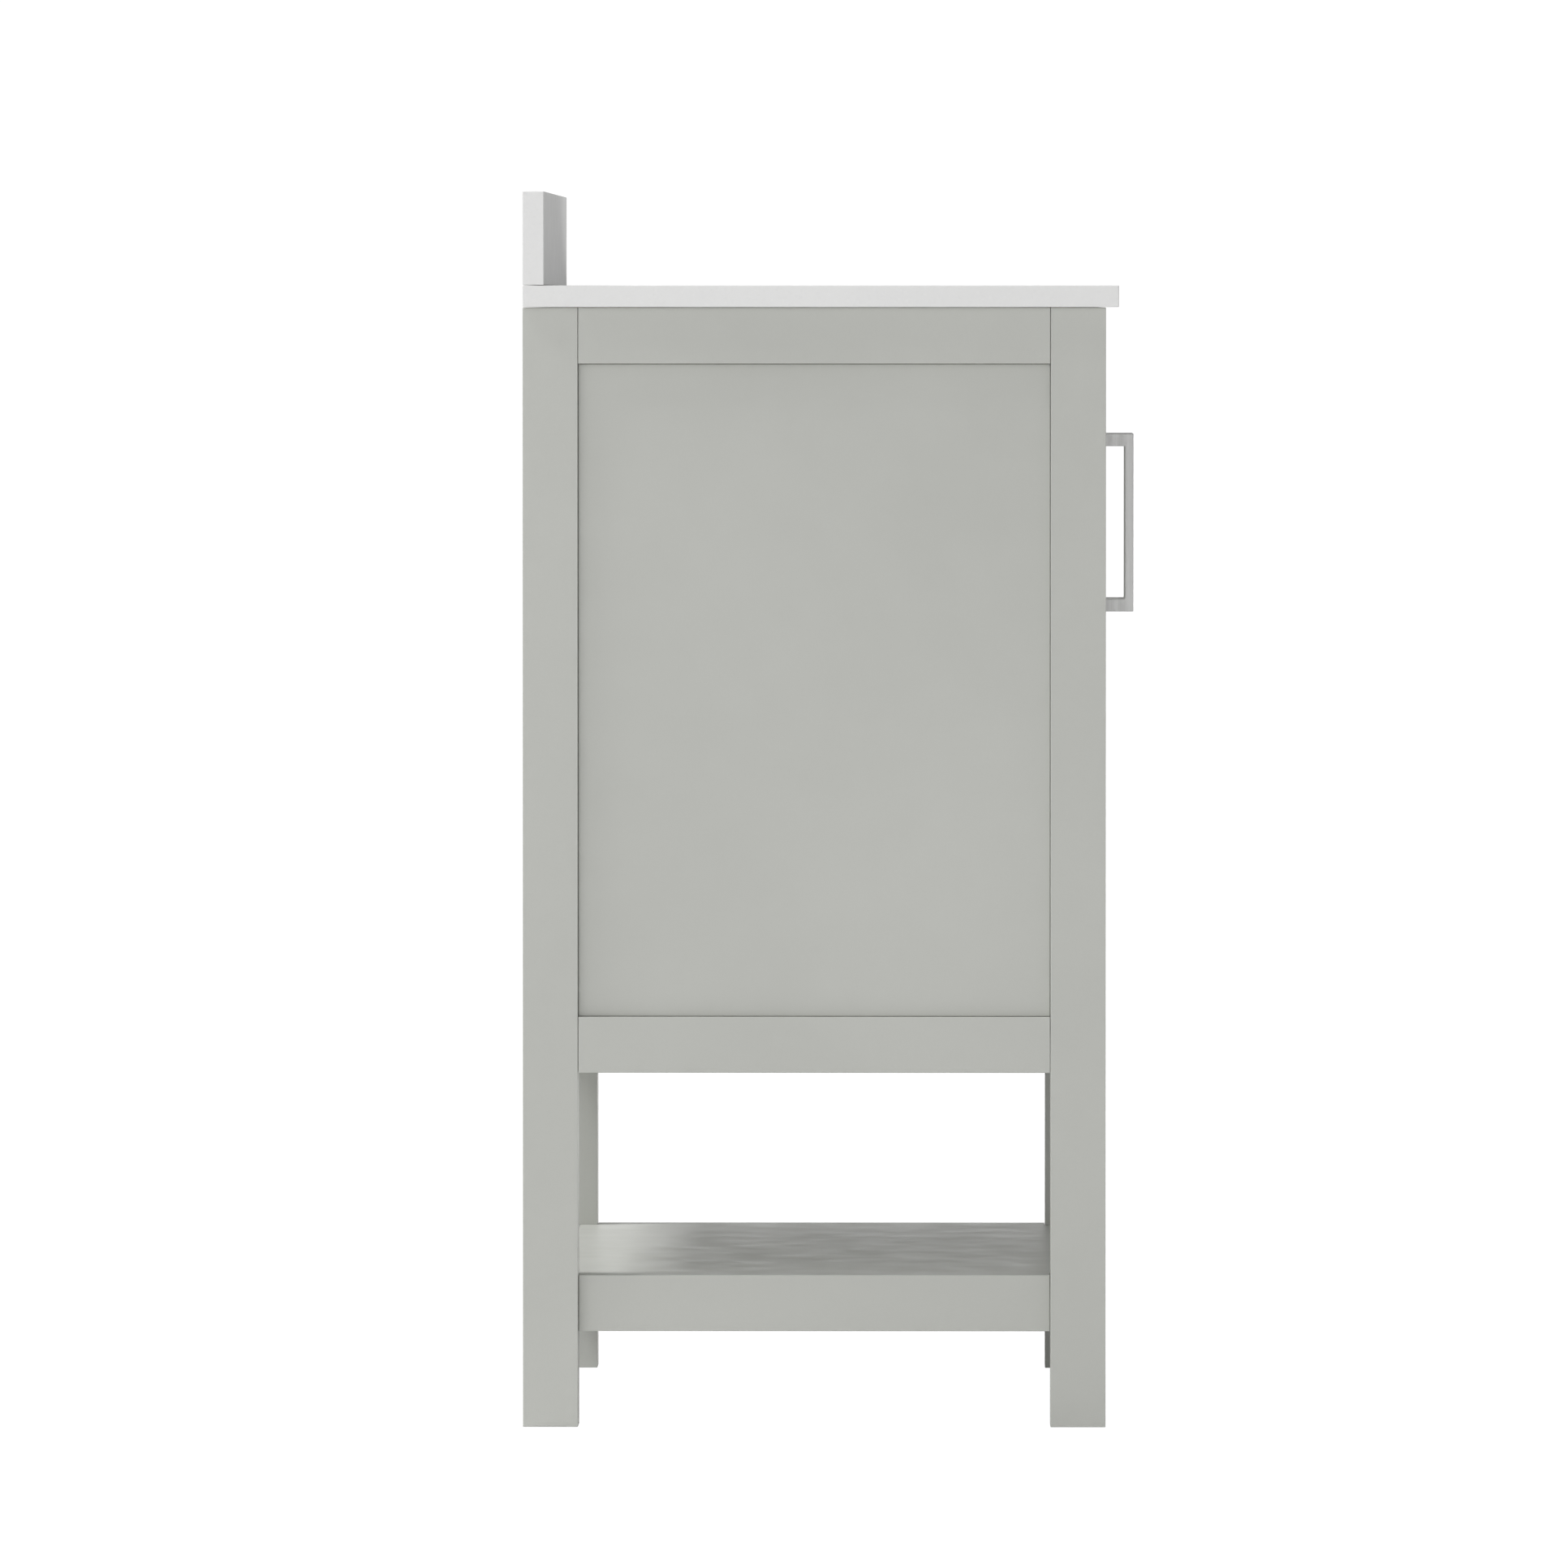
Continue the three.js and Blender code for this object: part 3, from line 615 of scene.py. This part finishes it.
RECESS_REACH = 0.56  # half length of the cross, over the head's radius
RECESS_WIDTH = 0.3  # width of its two bars, over the head's radius
RECESS_CORNER = 0.18  # over that width
RECESS_DEPTH = 0.62  # over the head's height
RECESS_EDGES = (0.03 * MM, 0.08 * MM)  # at its floor and at its mouth
HEAD_EDGE = 0.1 * MM  # under the head
SHANK_EDGE = 0.25 * MM
SHANK_OVERLAP = 0.2 * MM  # how far the shank runs into the head


def cross_recess(u, v, radius):
    """Outline of a cross-shaped driver recess, two bars across each other, for a head's radius."""
    reach, half = RECESS_REACH * radius, RECESS_WIDTH * radius / 2
    corners = [
        (-half, -reach), (half, -reach), (half, -half), (reach, -half), (reach, half), (half, half),
        (half, reach), (-half, reach), (-half, half), (-reach, half), (-reach, -half), (-half, -half),
    ]
    return outline(np.array(corners) + (u, v), 2 * RECESS_CORNER * half, steps=2)


def screw(shell, u, v, radius, start, end, toward, dome, shank_radius, shank_end):
    """Round head with a cross recess, from start to end, and a plain shank behind it."""
    facing = np.array(DIRECTIONS[toward][2], float)
    head = shell.wall(circle(u, v, radius, count=40), start, end, (HEAD_EDGE, dome), toward)
    floor = end - RECESS_DEPTH * (end - start)
    recess = shell.wall(hole(cross_recess(u, v, radius)), floor, end, RECESS_EDGES, toward, steps=2)
    shell.cap([head[0]], -facing)
    shell.cap([head[1], recess[1]], facing)
    shell.cap([recess[0]], facing)
    shank = circle(u, v, shank_radius, count=24)
    shell.solid([shank], shank_end, start + SHANK_OVERLAP, SHANK_EDGE, toward)


# ---------------------------------------------------------------- doors

PANEL_INSET = 6 * MM
PANEL_THICKNESS = 6 * MM
GROOVE_DEPTH = 9 * MM
TENON_OVERLAP = 0.6 * MM  # how far a tenon reaches into its rail
TENON_EDGE = 0.4 * MM

HANDLE_BAR = 7 * MM
HANDLE_POST = 10 * MM
HANDLE_EDGE = 0.6 * MM
HANDLE_CORNER = 0.78 * MM
HANDLE_SCREW_HEAD = 2.4 * MM  # height of the head
HANDLE_SCREW_RADIUS = 2 * MM


def grooved_outline(low, high, grooved_side, radius):
    """Section of a door frame bar with the panel's groove in its +u or -u edge; v runs front to back."""
    (u0, v0), (u1, v1) = low, high
    g0 = v0 + PANEL_INSET - SEAM
    g1 = g0 + PANEL_THICKNESS + 2 * SEAM
    if grooved_side > 0:
        floor = u1 - GROOVE_DEPTH
        corners = [(u0, v0), (u1, v0), (u1, g0), (floor, g0), (floor, g1), (u1, g1), (u1, v1), (u0, v1)]
    else:
        floor = u0 + GROOVE_DEPTH
        corners = [(u0, v0), (u1, v0), (u1, v1), (u0, v1), (u0, g1), (floor, g1), (floor, g0), (u0, g0)]
    return outline(corners, radius)


def door(side_name, side):
    """Two stiles, two rails and a flat panel held in their grooves."""
    body = f"{side_name}_door"
    corner = CORNER_SHARE * WOOD_EDGE
    for stile_name, groove in (("hinge_stile", -side), ("meeting_stile", side)):
        cad_name = f"{body}_{stile_name}"
        low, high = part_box(cad_name)
        stile = Shell()
        stile.solid([grooved_outline(low[:2], high[:2], groove, corner)], low.z, high.z, WOOD_EDGE)
        stile.piece(f"{cad_name}_bar", body, paint, "paint", cad_name)
    for rail_name, groove in (("top_rail", -1), ("bottom_rail", 1)):
        cad_name = f"{body}_{rail_name}"
        low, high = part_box(cad_name)
        rail = Shell()
        points, normals = grooved_outline((low.z, low.y), (high.z, high.y), groove, corner)
        section = points[::-1, ::-1], normals[::-1, ::-1]
        rail.solid([section], low.x + GROOVE_DEPTH, high.x - GROOVE_DEPTH, WOOD_EDGE, "+x")
        tongue = low.y + PANEL_INSET, low.y + PANEL_INSET + PANEL_THICKNESS
        bottom, top = (low.z + GROOVE_DEPTH, high.z) if groove < 0 else (low.z, high.z - GROOVE_DEPTH)
        bottom, top = bottom + TENON_OVERLAP, top - TENON_OVERLAP
        reach = GROOVE_DEPTH + TENON_OVERLAP
        for x0, x1 in ((low.x, low.x + reach), (high.x - reach, high.x)):
            rail.block((x0, tongue[0], bottom), (x1, tongue[1], top), TENON_EDGE)
        rail.piece(f"{cad_name}_bar", body, paint, "paint", cad_name)
    panel = Shell()
    panel.block(*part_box(f"{body}_panel"), WOOD_EDGE)
    panel.piece(f"{body}_panel_board", body, paint, "paint", f"{body}_panel")


def handle(side_name):
    """Square bar on two square posts, in one piece, with fine broken edges, and its two screws."""
    low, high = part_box(f"{side_name}_handle")
    behind = low.y + HANDLE_BAR
    corners = [
        (low.y, low.z), (high.y, low.z), (high.y, low.z + HANDLE_POST), (behind, low.z + HANDLE_POST),
        (behind, high.z - HANDLE_POST), (high.y, high.z - HANDLE_POST), (high.y, high.z), (low.y, high.z),
    ]
    pull = Shell()
    pull.solid([outline(corners, HANDLE_CORNER)], low.x, high.x, HANDLE_EDGE, "+x")
    pull.piece(f"{side_name}_handle_bar", f"{side_name}_door", bar_nickel, "nickel", f"{side_name}_handle")
    for number in (1, 2):
        name = f"{side_name}_handle_screw_{number}"
        low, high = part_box(name)
        middle = (low + high) / 2
        fixing = Shell()
        screw(
            fixing, middle.z, middle.x, (high.x - low.x) / 2, high.y - HANDLE_SCREW_HEAD, high.y, "+y",
            dome=1.3 * MM, shank_radius=HANDLE_SCREW_RADIUS, shank_end=low.y,
        )
        fixing.piece(f"{name}_pan_head", f"{side_name}_door", zinc, "steel", name)


# ---------------------------------------------------------------- hinges

LEAF_THICKNESS = 1 * MM
LEAF_CORNER = 1.2 * MM
LEAF_EDGE = 0.2 * MM
LEAF_SCREW_RADIUS = 2.7 * MM
LEAF_SCREW_HEIGHTS = (0.14, 0.5, 0.86)  # over the leaf's height
LEAF_SCREW_SHIFT = 0.8 * MM  # from the leaf's middle, away from the knuckles
LEAF_SCREW_REACH = 11 * MM  # behind the leaf
LEAF_SCREW_GAP = 0.12 * MM  # round the head
LEAF_SCREW_SUNK = 0.05 * MM  # head below the leaf's face
KNUCKLE_WALL = 1 * MM
KNUCKLE_EDGE = 0.25 * MM
TAB_EDGE = 0.12 * MM
TAB_OVERLAP = 1.5 * MM  # of the leaf and the tab that joins it to a knuckle
TAB_SETBACK = 0.4 * MM  # of the door leaf's tab, behind the bore
PIN_EDGE = 0.2 * MM
PIN_OVERLAP = 0.3 * MM  # of the pin and its head
CROWN_EDGES = (0.15 * MM, 1.35 * MM)  # under the head and round its dome


def hinge(side_name, side, end_name):
    """Two screwed leaves, three knuckles and a pin with a domed head."""
    name = f"{side_name}_{end_name}_hinge"
    frame_low, frame_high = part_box(f"{name}_frame_leaf")
    stile_low, stile_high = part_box(f"{side_name}_door_hinge_stile")
    radius = (frame_high.x - frame_low.x) / 2
    bore = radius - KNUCKLE_WALL
    axis_x, axis_y = frame_low.x + radius, frame_low.y + radius
    bottom, top = frame_low.z, frame_high.z
    third = (top - bottom) / 3
    frame_face = axis_x + side * radius
    door_face = (stile_low if side < 0 else stile_high).x + side * SEAM
    plate_y, plate_end = stile_low.y, frame_high.y
    screw_y = (plate_y + plate_end) / 2 + LEAF_SCREW_SHIFT
    rows = [bottom + share * (top - bottom) for share in LEAF_SCREW_HEIGHTS]
    leaves = (
        (
            "frame_leaf", "cabinet", frame_face, -side, axis_y,
            [(bottom, bottom + third - SEAM / 2), (top - third + SEAM / 2, top)],
        ),
        (
            "door_leaf", f"{side_name}_door", door_face, side, axis_y + bore + TAB_SETBACK,
            [(bottom + third + SEAM / 2, top - third - SEAM / 2)],
        ),
    )
    for leaf_name, body, fixed_face, out, tab_start, knuckles in leaves:
        toward = "+x" if out > 0 else "-x"
        start, end = out * fixed_face, out * fixed_face + LEAF_THICKNESS
        if out > 0:
            plate = rectangle((plate_y, bottom), (plate_end, top), LEAF_CORNER)
            centres = [(screw_y, z) for z in rows]
        else:
            plate = rectangle((bottom, plate_y), (top, plate_end), LEAF_CORNER)
            centres = [(z, screw_y) for z in rows]
        leaf = Shell()
        seats = [hole(circle(u, v, LEAF_SCREW_RADIUS + LEAF_SCREW_GAP, count=32)) for u, v in centres]
        leaf.solid([plate, *seats], start, end, LEAF_EDGE, toward)
        x0, x1 = sorted((fixed_face, fixed_face + out * LEAF_THICKNESS))
        for low, high in knuckles:
            tube = [circle(axis_x, axis_y, radius), hole(circle(axis_x, axis_y, bore))]
            leaf.solid(tube, low, high, KNUCKLE_EDGE)
            leaf.block((x0, tab_start, low), (x1, plate_y + TAB_OVERLAP, high), TAB_EDGE)
        leaf.piece(f"{name}_{leaf_name}_rolled", body, leaf_nickel, "nickel", f"{name}_{leaf_name}")
        fixings = Shell()
        for u, v in centres:
            screw(
                fixings, u, v, LEAF_SCREW_RADIUS, start + LEAF_SCREW_SUNK, end - LEAF_SCREW_SUNK, toward,
                dome=0.3 * MM, shank_radius=1.4 * MM, shank_end=start - LEAF_SCREW_REACH,
            )
        fixings.piece(f"{name}_{leaf_name}_screws", body, zinc, "steel")
    pin_low, pin_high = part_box(f"{name}_pin")
    head_start = top + SEAM
    rod = circle(axis_x, axis_y, bore - SEAM, count=32)
    head = circle(axis_x, axis_y, radius, count=40)
    pin = Shell()
    pin.solid([rod], pin_low.z, head_start + PIN_OVERLAP, PIN_EDGE)
    crown = pin.wall(head, head_start, pin_high.z, CROWN_EDGES, steps=6)
    pin.cap([crown[0]], (0, 0, -1))
    pin.cap([crown[1]], (0, 0, 1))
    pin.piece(f"{name}_pin_domed", "cabinet", zinc, "steel", f"{name}_pin")


# ---------------------------------------------------------------- catch, strikes and corner braces

CATCH_GAP = 0.8 * MM  # between a closed door's strike plate and the housing
CATCH_EDGE = 0.7 * MM
CATCH_CORNER = 0.91 * MM
CATCH_DEPTH = 6 * MM  # of the poles and magnets behind the housing's nose
POLE_HALF_WIDTH, POLE_HALF_HEIGHT = 10 * MM, 0.8 * MM
POLE_OFFSET = 3.4 * MM  # above and below the magnet's middle
POLE_PROUD, POLE_EDGE = 0.3 * MM, 0.15 * MM
MAGNET_HALF_WIDTH, MAGNET_HALF_HEIGHT = 9.5 * MM, 2.5 * MM
MAGNET_PROUD, MAGNET_EDGE = 0.1 * MM, 0.2 * MM
CATCH_SCREW_X = 30 * MM  # on either side of the middle
CATCH_SCREW_DROP = 9 * MM  # below the housing's top
CATCH_SCREW_RADIUS, CATCH_SCREW_HEAD = 3.4 * MM, 1.9 * MM
CATCH_SCREW_REACH = 24 * MM  # ahead of the housing's back
STRIKE_EDGE = 0.25 * MM
STRIKE_CORNER = 1.6 * MM
STRIKE_SEAT_RADIUS, STRIKE_SCREW_RADIUS = 2.5 * MM, 2.35 * MM
STRIKE_SCREW_REACH = 11 * MM  # behind the plate's seat
BRACE_CORNER = 0.7 * MM


def catch():
    """Moulded housing behind the front rail, with a magnet between two steel poles for each door."""
    low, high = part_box("magnetic_catch")
    strike_low, strike_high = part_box("left_strike_plate")
    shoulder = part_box("front_top_rail")[0].z + SEAM
    nose = strike_high.y + CATCH_GAP
    section = [
        (nose, low.z), (high.y, low.z), (high.y, high.z),
        (low.y, high.z), (low.y, shoulder), (nose, shoulder),
    ]
    housing = Shell()
    housing.solid([outline(section, CATCH_CORNER)], low.x, high.x, CATCH_EDGE, "+x")
    housing.piece("magnetic_catch_housing", "cabinet", catch_white, "catch_plastic", "magnetic_catch")
    middle_z = (strike_low.z + strike_high.z) / 2
    inner_y = nose + CATCH_DEPTH
    for side_name, side in SIDES:
        x = side * abs(strike_low.x + strike_high.x) / 2
        poles, magnet, fixing = Shell(), Shell(), Shell()
        for z in (middle_z - POLE_OFFSET, middle_z + POLE_OFFSET):
            poles.block(
                (x - POLE_HALF_WIDTH, nose - POLE_PROUD, z - POLE_HALF_HEIGHT),
                (x + POLE_HALF_WIDTH, inner_y, z + POLE_HALF_HEIGHT), POLE_EDGE,
            )
        magnet.block(
            (x - MAGNET_HALF_WIDTH, nose - MAGNET_PROUD, middle_z - MAGNET_HALF_HEIGHT),
            (x + MAGNET_HALF_WIDTH, inner_y, middle_z + MAGNET_HALF_HEIGHT), MAGNET_EDGE,
        )
        screw(
            fixing, high.z - CATCH_SCREW_DROP, side * CATCH_SCREW_X, CATCH_SCREW_RADIUS,
            high.y, high.y + CATCH_SCREW_HEAD, "+y",
            dome=1.1 * MM, shank_radius=1.6 * MM, shank_end=high.y - CATCH_SCREW_REACH,
        )
        poles.piece(f"{side_name}_catch_poles", "cabinet", zinc, "steel")
        magnet.piece(f"{side_name}_catch_magnet", "cabinet", ferrite, "catch_plastic")
        fixing.piece(f"{side_name}_catch_screw", "cabinet", zinc, "steel")


def strike(side_name):
    """Stamped plate with round corners, held by one screw."""
    name = f"{side_name}_strike_plate"
    body = f"{side_name}_door"
    low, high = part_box(name)
    u, v = (low.z + high.z) / 2, (low.x + high.x) / 2
    edge = rectangle((low.z, low.x), (high.z, high.x), STRIKE_CORNER)
    seat = hole(circle(u, v, STRIKE_SEAT_RADIUS, count=32))
    plate, fixing = Shell(), Shell()
    plate.solid([edge, seat], low.y, high.y, STRIKE_EDGE, "+y")
    screw(
        fixing, u, v, STRIKE_SCREW_RADIUS, low.y + 0.1 * MM, high.y - 0.05 * MM, "+y",
        dome=0.3 * MM, shank_radius=1.3 * MM, shank_end=low.y - STRIKE_SCREW_REACH,
    )
    plate.piece(f"{name}_stamped", body, zinc, "steel", name)
    fixing.piece(f"{side_name}_strike_screw", body, zinc, "steel")


def brace(side_name, side, end_name, end):
    """Sawn glue block that wraps the leg's inner corner."""
    name = f"{side_name}_{end_name}_corner_brace"
    low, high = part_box(name)
    leg_low, leg_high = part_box(f"{side_name}_{end_name}_leg")
    leg_x = (leg_high if side < 0 else leg_low).x - side * SEAM
    leg_y = (leg_high if end < 0 else leg_low).y - end * SEAM
    outer_x, inner_x = (low.x, high.x) if side < 0 else (high.x, low.x)
    outer_y, inner_y = (low.y, high.y) if end < 0 else (high.y, low.y)
    corners = [(outer_x, leg_y), (outer_x, inner_y), (inner_x, outer_y), (leg_x, outer_y), (leg_x, leg_y)]
    rising = side * end < 0
    if rising:
        corners.reverse()
    block = Shell()
    block.solid([outline(corners, BRACE_CORNER)], low.z, high.z, WOOD_EDGE)
    block.piece(f"{name}_block", "cabinet", birch_rising if rising else birch_falling, "bare_wood", name)


# ---------------------------------------------------------------- the whole vanity

boards()
notched_board("cabinet_floor")
notched_board("lower_shelf")
back_board()
countertop()
basin()
for side_name, side in SIDES:
    door(side_name, side)
    handle(side_name)
    strike(side_name)
    for end_name in ("lower", "upper"):
        hinge(side_name, side, end_name)
    for end_name, end in ENDS:
        brace(side_name, side, end_name, end)
catch()


# ---------------------------------------------------------------- stage

SKY = 0.41  # even light all round the object
BACKDROP = 1.05  # the same sky as the camera sees it
FLOOR_REACH = 60  # metres on every side
FLOOR_GLOW = 1.1
FLOOR_GLOW_SHARE = 0.92  # of what the camera sees of the floor
MIDDLE = (0, 0, 0.5)

# Name, place, the point it faces, width, height, power in watts
SOFTBOXES = (
    ("key_softbox", (-0.54, 4.5, 7.2), MIDDLE, 2.2, 2.2, 490),
    ("low_side_softbox", (-4.6, 0.35, 1.1), MIDDLE, 2.4, 2.4, 28),
    ("high_side_softbox", (-3.8, 2.3, 2.5), MIDDLE, 2.2, 2.2, 22),
    ("far_softbox", (4.6, 0, 0.35), (0, 0, 0.35), 0.7, 0.7, 4.2),
    ("low_corner_softbox", (2.1, -2.4, 0.28), (0.2, -0.1, 0.35), 2.6, 0.42, 29),
    ("back_softbox", (-0.6, 4.6, 1.2), MIDDLE, 2.0, 2.0, 6),
)

CAMERA_PLACE = (-13.087, -0.090, 0.8647)
CAMERA_YAW, CAMERA_PITCH = math.radians(0.566), math.radians(1.672)  # from +X towards +Y, and downwards
CAMERA_LENS, CAMERA_SENSOR = 381, 36  # in millimetres
CAMERA_REACH = 200  # metres


def make_stage():
    """A pale floor that runs past every view; to the camera it glows nearly as white as the sky."""
    reach = FLOOR_REACH
    mesh = bpy.data.meshes.new("floor")
    corners = [(-reach, -reach, 0), (reach, -reach, 0), (reach, reach, 0), (-reach, reach, 0)]
    mesh.from_pydata(corners, [], [(0, 1, 2, 3)])
    floor = bpy.data.objects.new("floor", mesh)
    bpy.context.scene.collection.objects.link(floor)
    pale = new_finish("floor_white", Base_Color=(0.78, 0.78, 0.78, 1), Roughness=0.9, Specular_IOR_Level=0.1)
    glow = node(pale, "ShaderNodeEmission", Strength=FLOOR_GLOW)
    seen = node(pale, "ShaderNodeLightPath").outputs["Is Camera Ray"]
    mixed = node(pale, "ShaderNodeMixShader")
    feed(pale, mixed.inputs[0], remap(pale, seen, 0, 1, 0, FLOOR_GLOW_SHARE))
    feed(pale, mixed.inputs[1], shader_of(pale).outputs[0])
    feed(pale, mixed.inputs[2], glow.outputs[0])
    feed(pale, pale.node_tree.nodes["Material Output"].inputs["Surface"], mixed.outputs[0])
    mesh.materials.append(pale)


def aim(made, place, forward):
    """Puts a camera or light at a place, looking along a direction, level from side to side."""
    made.location = place
    made.rotation_euler = Vector(forward).to_track_quat("-Z", "Y").to_euler()
    bpy.context.scene.collection.objects.link(made)


def make_light(name, place, target, width, height, power):
    """A softbox of a given width and height in metres, facing its target."""
    lamp = bpy.data.lights.new(name, "AREA")
    lamp.shape = "RECTANGLE"
    lamp.size = width
    lamp.size_y = height
    lamp.energy = power
    made = bpy.data.objects.new(name, lamp)
    made.visible_camera = False
    aim(made, place, Vector(target) - Vector(place))


def make_camera():
    """A long lens on the cabinet's left, level with the countertop and looking slightly down."""
    lens = bpy.data.cameras.new("camera")
    lens.sensor_width = CAMERA_SENSOR
    lens.lens = CAMERA_LENS
    lens.clip_end = CAMERA_REACH
    level = math.cos(CAMERA_PITCH)
    forward = (level * math.cos(CAMERA_YAW), level * math.sin(CAMERA_YAW), -math.sin(CAMERA_PITCH))
    camera = bpy.data.objects.new("camera", lens)
    aim(camera, CAMERA_PLACE, forward)
    bpy.context.scene.camera = camera


def make_world():
    """Even white light all round; the backdrop itself shows pure white."""
    world = bpy.data.worlds.new("studio")
    world.use_nodes = True
    background = world.node_tree.nodes["Background"]
    background.inputs["Color"].default_value = (1, 1, 1, 1)
    seen = node(world, "ShaderNodeLightPath").outputs["Is Camera Ray"]
    feed(world, background.inputs["Strength"], remap(world, seen, 0, 1, SKY, BACKDROP))
    bpy.context.scene.world = world


make_stage()
make_camera()
make_world()
for softbox in SOFTBOXES:
    make_light(*softbox)
bpy.context.scene.view_settings.view_transform = "Standard"
